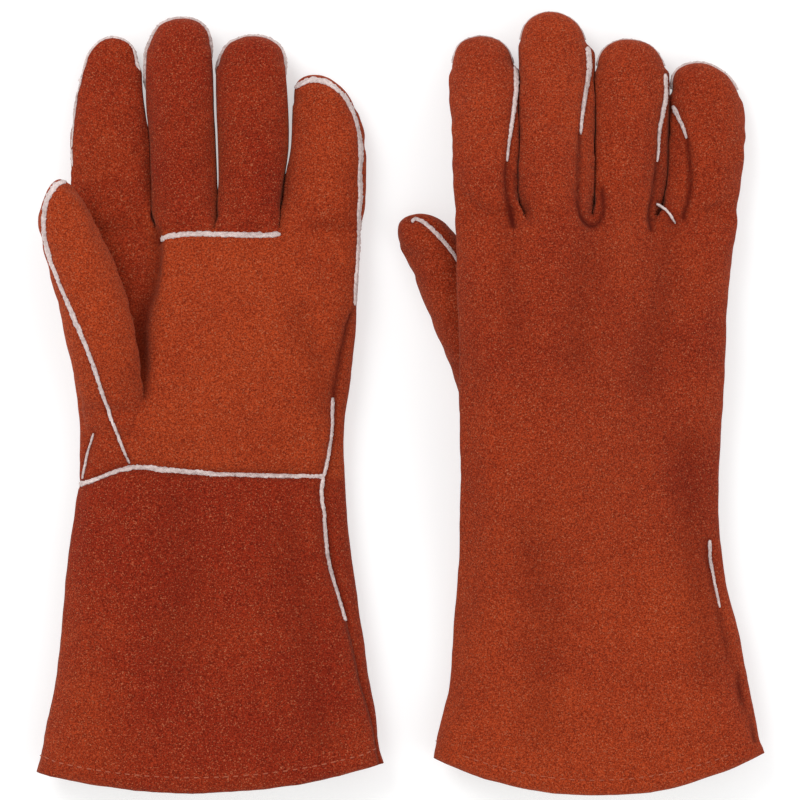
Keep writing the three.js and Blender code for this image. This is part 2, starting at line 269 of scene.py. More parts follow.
# how far the little-finger side seam lies in from the outline, over the palm side
ULNAR_INSET = [[-170, 1.6], [-150, 4.2], [-128, 7.0], [-100, 9.6], [-73, 13.0], [-52, 12.8], [-40, 13.4],
               [-24, 9.6], [-7, 8.2], [8, 9.6], [33, 7.2], [43, 4.2], [61, 2.0], [120, 2.0], [150, 2.4]]
# how far the wrist seam lies above or below its straight line
WRIST_WAVE = [[0.0, -2.6], [0.04, -2.2], [0.1, 0.4], [0.2, 4.4], [0.28, 4.6], [0.46, 2.4], [0.7, 1.6],
              [1.0, 0.5]]


def build_glove(skin, g):
    side = g["side"]
    crotch = g["crotch"]
    fingers = g["fingers"]
    left_y, right_y, bow = g["hem"]
    hem_y = min(left_y, right_y)
    cuff_rows = round((WRIST - hem_y) / STEP)
    hand_rows = round((crotch - WRIST) / STEP)
    rows = [hem_y + (WRIST - hem_y) * i / cuff_rows for i in range(cuff_rows + 1)]
    rows += [WRIST + (crotch - WRIST) * i / hand_rows for i in range(1, hand_rows + 1)]
    wrist_row, last = cuff_rows, len(rows) - 1
    columns = TOP_COLUMNS * 4

    # where each column lies across the top at the crotch, as a share from the left seam
    x_l, x_r = at(g["body"], crotch, 1), at(g["body"], crotch, 2)
    centre, half = (x_l + x_r) / 2, (x_r - x_l) / 2
    seam_left = across(RADIAL)

    def seam_right(y, wide):
        return 1 - at(ULNAR_INSET, y) / wide

    start = centre - half * seam_left
    end = centre + half * seam_right(crotch, half)
    between = [(a["edges"][0][2] + b["edges"][0][1]) / 2 for a, b in zip(fingers, fingers[1:])]
    bounds = [start, *between, end]
    share_of = []
    for k in range(4):
        for j in range(TOP_COLUMNS):
            share_of.append((bounds[k] + (bounds[k + 1] - bounds[k]) * j / TOP_COLUMNS - start)
                            / (end - start))
    share_of.append(1.0)

    def body_point(i, kind, j):
        y = rows[i]
        xl, xr = at(g["body"], y, 1), at(g["body"], y, 2)
        palm, back = at(g["palm_height"], y), at(g["back_height"], y)
        if kind == "top":
            u = -seam_left + (seam_left + seam_right(y, (xr - xl) / 2)) * share_of[j]
            share = crown(u)
        elif kind == "bottom":
            edge = across(BELOW)
            u = -edge + 2 * edge * share_of[j]
            share = -crown(u)
        else:
            top = crown(seam_right(y, (xr - xl) / 2)) if kind == "right" else RADIAL
            share = top + (-BELOW - top) * j / SIDE_STEPS
            u = across(share) * (1 if kind == "right" else -1)
        if g["up"] > 0 and kind == "top":
            y += at(WRIST_WAVE, share_of[j]) * bell(y - WRIST, 22)
        below = ease((WRIST - y) / (WRIST - hem_y))
        hem_here = left_y + (right_y - left_y) * (u + 1) / 2
        y += below**2 * (hem_here - hem_y - bow * (1 - u * u))
        return section(g, xl, xr, palm, back, y, u, share)

    def body_key(i, kind, j):
        if kind in ("left", "right") and j in (0, SIDE_STEPS):
            return (side, "H", i, "top" if j == 0 else "bottom", 0 if kind == "left" else columns)
        return (side, "H", i, kind, j)

    def body(i, kind, j):
        key = body_key(i, kind, j)
        return skin.point(key, lambda: body_point(i, key[3], key[4]))

    def quad(a, b, c, d, name):
        skin.face([a, d, c, b] if g["up"] < 0 else [a, b, c, d], side + "_" + name)

    def patch(get, r, kind, a, b, name):
        """A face between columns a and b, from row r to the next."""
        quad(get(r, kind, a), get(r, kind, b), get(r + 1, kind, b), get(r + 1, kind, a), name)

    def cover(get, end_row, wall_rows, columns, labels):
        """Faces of a digit: its front and back, then its sides, with labels for each row."""
        for r in range(end_row):
            front, back, walls = labels(r)
            for j in range(columns):
                patch(get, r, "top", j, j + 1, front)
                patch(get, r, "bottom", j + 1, j, back)
            for kind in ("left", "right"):
                for j in range(SIDE_STEPS if r < wall_rows else 0):
                    a, b = (j, j + 1) if kind == "right" else (j + 1, j)
                    patch(get, r, kind, a, b, walls[kind])

    for i in range(last):
        on_cuff = i < wrist_row
        top_name, back_name = ("cuff_front", "cuff_back") if on_cuff else ("palm", "hand_back")
        for j in range(columns):
            patch(body, i, "top", j, j + 1, top_name)
            patch(body, i, "bottom", j + 1, j, back_name)
        for j in range(SIDE_STEPS):
            patch(body, i, "right", j, j + 1, back_name)
            patch(body, i, "left", j + 1, j, back_name)
    for i in range(last + 1):
        skin.pins.update([body(i, "top", 0), body(i, "top", columns)])
    for j in range(columns + 1):
        skin.pins.update([body(0, "top", j), body(0, "bottom", j), body(wrist_row, "top", j)])
        skin.pins.add(body(last, "top", j))
    for j in range(SIDE_STEPS + 1):
        skin.pins.update([body(0, "right", j), body(0, "left", j)])

    def chain(points, name, **how):
        skin.seams.append({"name": side + "_" + name, "points": list(points), **how})

    welt_end, welt_top, little_start = (
        next(i for i in range(last + 1) if rows[i] > y) for y in (SIDE_WELT_END, SIDE_WELT_TOP, LITTLE_START)
    )
    for start_row, end_row, name, how in (
        (0, welt_end, "side_seam_low", {"welt": False, "depth": 0.6}),
        (welt_end, wrist_row, "side_welt", {"welt": True}),
        (wrist_row, welt_top, "side_welt_hand", {"welt": True}),
        (welt_top, little_start, "side_seam_high", {"welt": False}),
    ):
        chain([body(i, "top", columns) for i in range(start_row, end_row + 1)], name, **how)
    chain([body(wrist_row, "top", j) for j in range(columns + 1)], "wrist_welt", welt=True)
    chain([body(last, "top", j) for j in range(TOP_COLUMNS, 3 * TOP_COLUMNS + 1)],
          "finger_base_welt", welt=True)

    # ---- fingers
    for k, finger in enumerate(fingers):
        name = finger["name"]
        edges, tip = finger["edges"], finger["tip"]
        c0 = k * TOP_COLUMNS
        outer = {"left": k == 0, "right": k == 3}
        first, body_end = crotch, tip - TIP
        count = round((body_end - first) / STEP)
        ys = [first + (body_end - first) * i / count for i in range(count + 1)]
        bend_row = 0
        if name == "index":  # below its bend it is part of the hand
            bend_row = min(range(len(ys)), key=lambda i: abs(ys[i] - INDEX_BEND))
            ys[bend_row] = INDEX_BEND
        end_row = count + TIP_ROWS
        half_height = g["finger_height"][name]
        top_left = RADIAL if outer["left"] else WALL_TOP
        wide_left, wide_right = PRESSED, NARROW if outer["right"] else PRESSED
        if outer["left"]:
            wide_left = NARROW if g["up"] < 0 else WIDEN

        def heights(y):
            t = ease((y - first) / FINGER_CHANGE)
            palm = at(g["palm_height"], crotch) * (1 - t) + half_height * t
            back = at(g["back_height"], crotch) * (1 - t) + (half_height - 0.3) * t
            fade = 1 - 0.12 * ease((y - body_end + 25) / 25)
            return palm * fade, back * fade

        def finger_point(r, kind, j):
            if r <= count:
                y = ys[r]
                xl, xr = at(edges, y, 1) - wide_left, at(edges, y, 2) + wide_right
                palm, back = heights(y)
                t = 1 - ease((y - (body_end - FINGER_CHANGE)) / FINGER_CHANGE)
                right_now = WALL_TOP * t
                if outer["right"]:
                    right_now = crown(1 - at(ULNAR_INSET, y) / ((xr - xl) / 2)) * t
                if kind in ("top", "bottom"):
                    if kind == "top":
                        ul, ur = across(top_left * t), across(right_now)
                    else:
                        ul = ur = across(BELOW * t)
                    u = -ul + (ul + ur) * (j / TOP_COLUMNS)
                    share = crown(u) * (1 if kind == "top" else -1)
                    if t < 1e-6 and j in (0, TOP_COLUMNS):
                        share = FLAT
                else:
                    top = top_left * t if kind == "left" else right_now
                    share = top + (-BELOW * t - top) * j / SIDE_STEPS
                    u = across(share) * (1 if kind == "right" else -1)
                p = section(g, xl, xr, palm, back, y, u, share)
                root = ease((y - first) / ROOT_CHANGE)
                if root < 1:
                    q = root_point(kind, j)
                    p = tuple(q[a] * (1 - root) + p[a] * root if a != 1 else p[1] for a in range(3))
                return p
            w, u = (r - count) / TIP_ROWS, -1 + 2 * j / TOP_COLUMNS
            along, out, rise = round_end(w, u)
            y = body_end + TIP * along
            xl, xr = at(edges, min(y, edges[-1][0]), 1), at(edges, min(y, edges[-1][0]), 2)
            share = FLAT if r == end_row else rise if kind == "top" else -rise
            palm, back = heights(body_end)
            p = section(g, xl, xr, palm, back, y, out, share)
            if (outer["left"] and u < 0) or (outer["right"] and u > 0):
                p = (p[0] + u * math.sqrt(1 - w * w), p[1], p[2])
            return p

        def root_point(kind, j):
            """The end of the hand, which the finger grows out of."""
            if kind in ("top", "bottom"):
                return skin.points[body(last, kind, c0 + j)]
            if outer[kind]:
                return skin.points[body(last, kind, j)]
            column = c0 if kind == "left" else c0 + TOP_COLUMNS
            a = skin.points[body(last, "top", column)]
            b = skin.points[body(last, "bottom", column)]
            f = j / SIDE_STEPS
            return tuple(a[i] * (1 - f) + b[i] * f for i in range(3))

        def finger_key(r, kind, j):
            if kind in outer and j in (0, SIDE_STEPS):
                edge = 0 if kind == "left" else TOP_COLUMNS
                return finger_key(r, "top" if j == 0 else "bottom", edge)
            if r == 0:
                if kind in ("top", "bottom"):
                    return body_key(last, kind, c0 + j)
                if outer[kind]:
                    return body_key(last, kind, j)
                return (side, "B", k if kind == "left" else k + 1, j)
            if r >= count:  # past the walls, top and bottom share their edge
                if kind in ("left", "right"):
                    return finger_key(r, "top", 0 if kind == "left" else TOP_COLUMNS)
                if kind == "bottom" and (j in (0, TOP_COLUMNS) or r == end_row):
                    return finger_key(r, "top", j)
            return (side, name, r, kind, j)

        def get(r, kind, j):
            key = finger_key(r, kind, j)
            if key[1] == "H":
                return body(*key[2:])
            return skin.point(key, lambda: finger_point(r, kind, j))

        def labels(r):
            on_hand = r < bend_row
            back_name = "hand_back" if on_hand else name + "_back"
            walls = {}
            for kind, letter in (("left", "a"), ("right", "b")):
                inner = "index_wall_root" if on_hand else name + "_wall_" + letter
                walls[kind] = back_name if outer[kind] else inner
            return "palm" if on_hand else name + "_front", back_name, walls

        cover(get, end_row, count, TOP_COLUMNS, labels)
        for r in range(end_row + 1):
            skin.pins.update([get(r, "top", 0), get(r, "top", TOP_COLUMNS)])
            skin.pins.update([get(r, "bottom", 0), get(r, "bottom", TOP_COLUMNS)])
        for j in range(TOP_COLUMNS + 1):
            skin.pins.add(get(end_row, "top", j))
        finger["bend_ring"] = [get(bend_row, kind, j) for kind in ("top", "bottom")
                               for j in range(TOP_COLUMNS + 1)]
        left_level, right_level = ("top" if outer[kind] else "bottom" for kind in ("left", "right"))
        up_side = [get(r, left_level, 0) for r in range(bend_row, end_row + 1)]
        over = [get(end_row, "top", j) for j in range(1, TOP_COLUMNS)]
        down = [get(r, right_level, TOP_COLUMNS) for r in range(end_row, bend_row - 1, -1)]
        middle_x = at(edges, tip - 30, 1) / 2 + at(edges, tip - 30, 2) / 2  # of the tip
        draped = g["up"] > 0 and name == "little"
        if g["up"] < 0:  # the sides of these are drawn from above, in DRAPED
            up_side, down = up_side[count - bend_row + 2 :], down[: TIP_ROWS - 1]
        elif not draped:  # and these can't be seen where the fingers touch
            starts = {"index": 108, "middle": tip - 38, "ring": tip - 24}
            up_side = [v for v in up_side if skin.points[v][1] > starts[name]]
            down = [v for v in down if skin.points[v][1] > tip - 22]
        chain(up_side + over + down, name + "_welt", welt=not draped, tip=tip, middle=middle_x,
              depth=0.3 if draped or g["up"] < 0 else 0.9)
        for kind, column, ending in (("left", 0, "a"), ("right", TOP_COLUMNS, "b")):
            if not outer[kind]:
                chain([get(r, "top", column) for r in range(count + 1)], name + "_seam_" + ending,
                      welt=False, depth=0.3)
        if name == "index":
            chain([get(r, "bottom", TOP_COLUMNS) for r in range(bend_row + 1)], "index_root_welt",
                  welt=g["up"] > 0, depth=0.4)
        if name == "little":
            chain([body(i, "top", columns) for i in range(little_start, last + 1)], "little_root_seam",
                  welt=False, depth=0.3)

    # ---- thumb: its root is sunk in the hand
    path, body_end = g["thumb"], g["thumb_tip"] - THUMB_TIP
    first = path[0][0]
    count = round((body_end - first) / STEP)
    ys = [first + (body_end - first) * i / count for i in range(count + 1)]
    end_row = count + TIP_ROWS

    def thumb_point(r, kind, j):
        if r > count:
            along, out, rise = round_end((r - count) / TIP_ROWS, -1 + 2 * j / THUMB_COLUMNS)
            y = body_end + THUMB_TIP * along
            xl, xr, mid, half = (at(path, min(y, path[-1][0]), q) for q in (1, 2, 3, 4))
            share = FLAT if r == end_row else rise if kind == "top" else -rise
            return section(g, xl, xr, half, half, y, out, share, mid)
        y = ys[r]
        xl, xr, mid, half = (at(path, y, q) for q in (1, 2, 3, 4))
        t = 1 - ease((y - (body_end - THUMB_CHANGE)) / THUMB_CHANGE)
        seam_top = crown(1 - at(g["thumb_inset"], y) / ((xr - xl) / 2))
        if kind in ("top", "bottom"):
            ul = across(seam_top * t) if kind == "top" else across(THUMB_LOW * t)
            ur = across(THUMB_RIGHT * t)
            u = -ul + (ul + ur) * j / THUMB_COLUMNS
            share = crown(u) * (1 if kind == "top" else -1)
            if t < 1e-6 and j in (0, THUMB_COLUMNS):
                share = FLAT
        else:
            top, low = (seam_top, THUMB_LOW) if kind == "left" else (THUMB_RIGHT, THUMB_RIGHT)
            share = top * t + (-low * t - top * t) * j / SIDE_STEPS
            u = across(share) * (1 if kind == "right" else -1)
        return section(g, xl, xr, half, half, y, u, share, mid)

    def thumb_key(r, kind, j):
        if kind in ("left", "right"):
            edge = 0 if kind == "left" else THUMB_COLUMNS
            if j in (0, SIDE_STEPS) or r >= count:
                return thumb_key(r, "top" if j == 0 or r >= count else "bottom", edge)
        if r >= count and kind == "bottom" and (j in (0, THUMB_COLUMNS) or r == end_row):
            return thumb_key(r, "top", j)
        return (side, "thumb", r, kind, j)

    def thumb(r, kind, j):
        key = thumb_key(r, kind, j)
        return skin.point(key, lambda: thumb_point(r, key[3], key[4]))

    cover(thumb, end_row, count, THUMB_COLUMNS,
          lambda r: ("thumb_front", "thumb_back", {"left": "thumb_back", "right": "thumb_back"}))
    for r in range(end_row + 1):
        skin.pins.update([thumb(r, "top", 0), thumb(r, "top", THUMB_COLUMNS)])
    for j in range(THUMB_COLUMNS + 1):
        for kind in ("top", "bottom"):
            skin.pins.update([thumb(0, kind, j), thumb(1, kind, j), thumb(end_row, "top", j)])


skin = Skin()
for g in GLOVES.values():
    build_glove(skin, g)


# ---------------------------------------------------------------- to a mesh, with its wrinkles
def make_mesh(name, points, faces):
    mesh = bpy.data.meshes.new(name)
    mesh.from_pydata([tuple(p) for p in points], [], [tuple(f) for f in faces])
    mesh.update()
    return mesh


def link(obj):
    bpy.context.scene.collection.objects.link(obj)
    return obj


def positions(mesh):
    co = np.zeros(len(mesh.vertices) * 3)
    mesh.vertices.foreach_get("co", co)
    return co.reshape(-1, 3)


def point_normals(points, faces):
    """A normal for every point, from its faces' areas."""
    normals = np.zeros_like(points)
    for size in (3, 4):
        f = np.array([x for x in faces if len(x) == size], dtype=int).reshape(-1, size)
        if not len(f):
            continue
        a, b, c = points[f[:, 0]], points[f[:, 1]], points[f[:, 2]]
        if size == 4:
            n = np.cross(points[f[:, 2]] - a, points[f[:, 3]] - b)
        else:
            n = np.cross(b - a, c - a)
        for k in range(size):
            np.add.at(normals, f[:, k], n)
    return normals / np.maximum(1e-12, np.linalg.norm(normals, axis=1))[:, None]


rest = np.array(skin.points) + SHIFT


def simulate(rest):
    """The panels are filled and loosened a little between their seams, which hold still."""
    mesh = make_mesh("wrinkling", rest / 10, skin.faces)  # in centimetres, so cloth acts softly
    obj = link(bpy.data.objects.new("wrinkling", mesh))
    group = obj.vertex_groups.new(name="held")
    group.add(sorted(skin.pins), 1.0, "REPLACE")
    cloth = obj.modifiers.new("cloth", "CLOTH").settings
    cloth.quality = 6
    cloth.mass = 0.4
    cloth.tension_stiffness = cloth.compression_stiffness = 40
    cloth.shear_stiffness = 20
    cloth.bending_stiffness = 1.2
    cloth.vertex_group_mass = "held"
    cloth.pin_stiffness = 1.0
    cloth.use_pressure = True
    cloth.uniform_pressure_force = 1.2
    cloth.shrink_min = -0.035
    cloth.effector_weights.gravity = 0.0
    cloth.air_damping = 4
    scene = bpy.context.scene
    scene.frame_start, scene.frame_end = 1, CLOTH_FRAMES + 2
    for f in range(1, CLOTH_FRAMES + 1):
        scene.frame_set(f)
    graph = bpy.context.evaluated_depsgraph_get()
    moved = positions(obj.evaluated_get(graph).to_mesh()) * 10
    bpy.data.objects.remove(obj)
    scene.frame_set(1)
    away = moved - rest
    far = np.linalg.norm(away, axis=1)
    print("cloth moved", len(rest), "points, mean", far.mean(), "most", far.max())
    away *= (np.minimum(far, MOST_MOVED) / np.maximum(far, 1e-9))[:, None]
    return rest + away


settled = simulate(rest)


# Divide the skin smoothly, keeping each face's label in its material number.
coarse = make_mesh("skin", settled, skin.faces)
for _ in skin.names:
    coarse.materials.append(None)
coarse.polygons.foreach_set("material_index", skin.labels)
holder = link(bpy.data.objects.new("skin", coarse))
divide = holder.modifiers.new("divide", "SUBSURF")
divide.levels = divide.render_levels = 1
divide.boundary_smooth = "PRESERVE_CORNERS"
graph = bpy.context.evaluated_depsgraph_get()
fine = bpy.data.meshes.new_from_object(holder.evaluated_get(graph))
bpy.data.objects.remove(holder)
points = positions(fine)
faces = [tuple(p.vertices) for p in fine.polygons]
labels = np.array([p.material_index for p in fine.polygons])
print("skin", len(points), "points", len(faces), "faces", len(set(labels)), "labels")
normals = point_normals(points, faces)


# ---------------------------------------------------------------- seams
def resample(line, step):
    """Points every step along a line."""
    line = np.asarray(line, float)
    lengths = np.r_[0, np.cumsum(np.linalg.norm(np.diff(line, axis=0), axis=1))]
    n = max(2, int(round(lengths[-1] / step)) + 1)
    s = np.linspace(0, lengths[-1], n)
    return np.stack([np.interp(s, lengths, line[:, k]) for k in range(3)], 1)


def smoothed(line, times=2):
    line = line.copy()
    for _ in range(times):
        line[1:-1] = (line[:-2] + 2 * line[1:-1] + line[2:]) / 4
    return line


# Seams laid over the skin from above: [piece, width at its start and end, points as (x, y)]. A width of
# 0 is a plain sewn seam.
DRAPED = [
    ["left_thumb_welt", 3.9, 1.0, [(-152.5, 100.8), (-156, 99.6), (-159.8, 95.4), (-162, 89.4),
     (-162.6, 81.2), (-162, 74), (-160, 65.8), (-154.3, 51.7), (-146.9, 34.8), (-142.7, 25.3),
     (-138.5, 12.7), (-134.6, -0.1), (-132.1, -8.5), (-127.6, -19.4), (-124, -28.6)]],
    ["left_side_seam_thumb", 0.8, 1.1, [(-140.7, -14.9), (-143.5, -23.4), (-145.8, -31.8),
     (-146.4, -35.6)]],
    ["left_little_welt", 3.4, 2.6, [(-48.4, 144.4), (-46.4, 147.2), (-41.3, 148.6), (-34.4, 148.2),
     (-28.7, 144.3), (-23, 137.5), (-19.6, 129.5), (-18, 116.9), (-18, 103.2), (-18.5, 87.3), (-18.9, 69),
     (-19.6, 55.3), (-20.8, 43.9)]],
    ["right_index_welt", 3.0, 0.9, [(52.8, 153.6), (53.2, 150.4), (53.0, 143.5), (52.0, 134.4),
     (50.5, 125.3), (49.5, 117.7), (48.7, 108.6)]],
    ["right_index_seam", 0, 0, [(48.7, 108.6), (48.2, 100), (48.4, 94.9), (50, 84.2), (50.6, 80)]],
    ["right_middle_welt", 3.5, 1.0, [(86.2, 162.8), (87.2, 158), (87.0, 151.1), (85.6, 143.5),
     (84.1, 135.9), (82.7, 128.3), (82.2, 121.5)]],
    ["right_middle_seam", 0, 0, [(82.2, 121.5), (81.6, 110), (81.1, 97.9), (81.1, 85.8), (83.4, 80.4),
     (88, 78.1), (91.8, 81.2), (92.5, 87.3), (91.3, 96.4)]],
    ["right_ring_welt", 3.0, 1.0, [(121.6, 150), (122.4, 145.1), (122, 139), (120.5, 132.9),
     (118.7, 126.1), (118.1, 117.7), (117.8, 109.3)]],
    ["right_ring_seam", 0, 0, [(117.8, 109.3), (116.9, 101), (114.6, 88.8), (113.8, 81.9),
     (114.6, 78.6)]],
    ["right_little_welt", 2.0, 1.1, [(124.6, 135.4), (126.9, 130.6), (129.8, 124.5), (130.8, 120)]],
    ["right_little_seam", 0, 0, [(130.8, 120), (132.1, 104), (131.7, 91.8), (129.8, 84.2)]],
    ["right_crotch_welt", 1.3, 0.9, [(117.6, 90.3), (121.4, 88.8), (124, 85.8), (125.5, 81.5)]],
    ["right_side_welt", 1.5, 0.9, [(141.9, -63.6), (141.5, -69.7), (142.7, -75.8), (144.6, -84.3),
     (146.4, -94.2)]],
    ["right_side_seam", 0, 0, [(146.4, -94.2), (152, -118), (158.5, -141), (162.4, -154.5)]],
    ["right_thumb_welt", 1.9, 1.4, [(3.5, 85.4), (8.6, 84.4), (13.6, 80.4), (19.7, 73.6), (25, 68),
     (32, 52), (38.6, 32), (44.5, 6), (48.5, -8)]],
]


def tree_of(wanted=lambda name: True):
    """A tree of the skin's faces whose labels are wanted."""
    numbers = {n for n, name in enumerate(skin.names) if wanted(name)}
    return BVHTree.FromPolygons([Vector(p) for p in points],
                                [f for f, l in zip(faces, labels) if l in numbers])


skin_tree = tree_of()
thumb_trees = {
    side: tree_of(lambda name, start=side + "_thumb": name.startswith(start)) for side in ("left", "right")
}


def drape(line, name):
    """Drop points (x, y) on the skin from above, or take the nearest of it past its edge."""
    found = []
    for x, y in line:
        on_thumb = name == "right_thumb_welt" or (name == "left_thumb_welt" and y > 2)
        tree = thumb_trees[name.split("_")[0]] if on_thumb else skin_tree
        top = Vector((x + SHIFT[0], y + SHIFT[1], 120))
        hit = tree.ray_cast(top, Vector((0, 0, -1)))[0]
        if hit is None:
            level = found[-1][2] if found else (34 if name == "left_thumb_welt" else 22)
            hit = tree.find_nearest(Vector((top.x, top.y, level)))[0]
        found.append(np.array(hit))
    return np.array(found)


seam_lines = []
for seam in skin.seams:
    line = smoothed(resample(settled[seam["points"]], SEAM_STEP), 4)
    if seam["name"] == "left_finger_base_welt":
        along = np.linspace(0, 1, len(line))
        line[:, 1] += -4.6 + 2.2 * np.sin(along * 3.1) + 2.2 * along**6
        line[:, 0] -= 0.6 * (1 - along)
        line = line[4:]
    if seam["name"] == "right_wrist_welt":
        line = line[6:-6]
    seam_lines.append((seam, line))
for name, wide, narrow, path in DRAPED:
    flat = resample([(x, y, 0) for x, y in path], 4)
    flat = smoothed(resample(smoothed(flat, 2), SEAM_STEP), 4)
    line = drape(flat[:, :2], name)
    seam = {"name": name, "welt": wide > 0, "widths": (wide, narrow), "depth": 0.7 if wide else 1.0}
    seam_lines.append((seam, smoothed(line, 3)))

seam_points = np.concatenate([line for _, line in seam_lines])
seam_depth = np.concatenate([[seam.get("depth", 1.0)] * len(line) for seam, line in seam_lines])
tree = KDTree(len(seam_points))
for i, p in enumerate(seam_points):
    tree.insert(p, i)
tree.balance()
nearest = [tree.find(p) for p in points]
near_seam = np.array([f[2] for f in nearest])
how_deep = np.array([seam_depth[f[1]] for f in nearest])

# The crease between the palm and the strip under the thumb, and other soft folds: [points, depth, width].
FOLDS = [
    ("left", [(-112.6, 76), (-111.9, 66), (-112.6, 58), (-114.8, 50), (-117.8, 42), (-118.9, 34),
     (-118.4, 24), (-117.6, 13), (-118.4, 3)], 2.6, 3.2),
    ("left", [(-46, 40), (-38, 18), (-33, -4)], 0.9, 6),
    ("left", [(-104, -46), (-100, -80), (-104, -120)], 0.8, 12),
    ("left", [(-52, -60), (-44, -100), (-38, -150)], 1.0, 10),
    ("right", [(49.5, 84), (49, 60), (52, 30)], 1.0, 7),
    ("right", [(86.5, 80), (84, 52), (80, 20)], 1.0, 8),
    ("right", [(122, 82), (120, 50), (112, 10)], 1.0, 8),
    ("right", [(132, -20), (134, -70), (142, -120)], 1.2, 9),
    ("right", [(60, -60), (66, -100), (64, -150)], 0.9, 11),
]


def fold_depth(p):
    total = 0.0
    for side, line, depth, width in FOLDS:
        if (side == "left") != (p[0] < 0):
            continue
        q = p - SHIFT
        best = 1e9
        for (x0, y0), (x1, y1) in zip(line, line[1:]):
            dx, dy = x1 - x0, y1 - y0
            f = min(1, max(0, ((q[0] - x0) * dx + (q[1] - y0) * dy) / (dx * dx + dy * dy)))
            best = min(best, math.hypot(q[0] - x0 - f * dx, q[1] - y0 - f * dy))
        total += depth * bell(best, width)
    return total


# painted shade: a per-point value that darkens the suede's colour in seam grooves, in folds and where fingers
# touch
crease_shade = np.zeros(len(points))
thumb_points = {v for f, l in zip(faces, labels) if "thumb" in skin.names[l] for v in f}
moved = points.copy()
for i, (p, n) in enumerate(zip(points, normals)):
    d = near_seam[i]
    v = Vector(p)
    broad = noise.noise(v / 34) * 0.9 + noise.noise(v / 15 + Vector((7, 3, 1))) * 0.5
    wrinkle = noise.noise(Vector((v.x / 16, v.y / 5.5, v.z / 14)) + Vector((3, 9, 4)))
    ridge = 1 - abs(noise.noise(Vector((v.x / 9, v.y / 12, v.z / 9)) + Vector((1, 5, 8)))) * 3
    facing = 0.3 + 0.7 * abs(n[2])  # the outlines stay smooth
    lift = broad * 0.8 + (wrinkle * 0.38 + max(0, ridge) * 0.24) * facing
    groove = (1.1 * bell(d, 1.5) + 0.5 * bell(d, 6)) * how_deep[i]
    pucker = noise.noise(v / 3.4) * 0.32 * bell(d, 5) * how_deep[i]
    fold = fold_depth(p) if n[2] > 0.2 and i not in thumb_points else 0.0
    lift += pucker - groove - fold
    # painted shade along the seams and in the folds
    crease_shade[i] = min(1.0, 0.9 * how_deep[i] * bell(d, 1.5) + fold * 0.22)
    moved[i] = p + n * lift
moved[:, 2] = np.maximum(moved[:, 2], 0.15)

# Where neighbouring fingers meet: [y, x, half the gap between them], index to little.
BETWEEN = {
    "left": [
        [[70, -113.7, 0.1], [101, -114.6, 0.1], [124, -115.9, 0.15], [133, -117, 0.45],
         [142, -117.7, 0.8], [160, -117.9, 1.5], [178, -118.2, 3]],
        [[70, -83.5, 0.1], [93, -83.7, 0.15], [104, -83.9, 0.5], [124, -84.6, 0.65], [133, -85.1, 0.7],
         [151, -85.5, 0.8], [178, -86, 2]],
        [[70, -55.5, 0.1], [85, -55.2, 0.1], [101, -53.5, 0.1], [111, -51.6, 0.45], [118, -50.8, 0.6],
         [130, -50.6, 0.85], [142, -50.7, 1.4], [160, -51, 2.5]],
    ],
    "right": [
        [[80, 52, 0.1], [92, 53.6, 0.1], [110, 53.6, 0.1], [128, 54.1, 0.1], [142, 53.8, 0.12],
         [150, 54.4, 0.2], [160, 53.6, 1]],
        [[80, 88.2, 0.1], [95, 88.3, 0.2], [125, 88.7, 0.2], [145, 88.9, 0.2], [159, 89.5, 0.5],
         [172, 90, 1.5]],
        [[80, 119.5, 0.1], [92, 120.6, 0.15], [101, 122.5, 0.15], [124, 122.9, 0.15], [142, 123.2, 0.15],
         [151, 123.4, 0.4], [162, 124, 1.5]],
    ],
}
DIGITS = ("index", "middle", "ring", "little")
for f, l in zip(faces, labels):
    side, rest_of = skin.names[l].split("_", 1)
    if not rest_of.startswith(DIGITS):
        continue
    k = DIGITS.index(rest_of.split("_")[0])
    for v in f:
        x, y, z = moved[v]
        y -= SHIFT[1]
        grow = 3 * (1 - ease((y - GLOVES[side]["crotch"]) / 7))
        for edge, way in ((k - 1, 1), (k, -1)):
            if 0 <= edge <= 2:
                gap = at(BETWEEN[side][edge], y, 2) * (0.6 if side == "right" else 1)
                wave = 0.6 * math.sin(z / 1.6) * max(0.0, 1 - gap / 0.4)
                limit = at(BETWEEN[side][edge], y) + SHIFT[0] + wave + way * (gap - grow)
                if (limit - moved[v][0]) * way > 0:
                    moved[v][0] = limit
                    # painted shade in the narrow gap where neighbouring fingers press together
                    crease_shade[v] = max(crease_shade[v], 0.6 - gap * 0.5)


def tone_of(p, name):
    """How light and orange the suede is here, from 0 to 1: hides differ, and worn places are paler. The left
    palm beside and under the thumb is made darker, which is painted shade.
    """
    x, y = p[0] - SHIFT[0], p[1] - SHIFT[1]
    if name.startswith("right"):
        tone = 0.52 + 0.11 * ease((y - 95) / 40) + 0.24 * ease((-60 - y) / 50)
        tone -= 0.16 * ease((x - 70) / 50) * ease((y + 90) / 60) * ease((80 - y) / 60)
    elif "cuff" in name:
        tone = 0.1 + 0.34 * ease((-118 - x) / 28) * ease((-50 - y) / 40) + 0.12 * ease((-120 - y) / 40)
        tone += 0.18 * ease((x + 40) / 22)
    elif "thumb" in name:
        tone = 0.92 - 0.2 * ease((40 - y) / 60)
    elif name.endswith(("middle_front", "ring_front")):
        tone = 0.16 + 0.12 * ease((y - 100) / 50)
    elif name.endswith("little_front"):
        tone = 0.72
    elif "index" in name:
        tone = 0.4
    else:
        # painted shade on the left palm beside and under the folded thumb, and towards the thumb's root
        under_thumb_shade = ease((-111 - x) / 8) * ease((y - 8) / 30)
        tone = 0.9 * (1 - under_thumb_shade) + 0.22 * under_thumb_shade - 0.5 * ease((10 - y) / 55) * ease((-118 - x) / 16)
    return tone


tone = np.zeros(len(points))
for f, l in zip(faces, labels):
    for v in f:
        tone[v] = tone_of(points[v], skin.names[l])
points = moved
normals = point_normals(points, faces)
surface = tree_of()

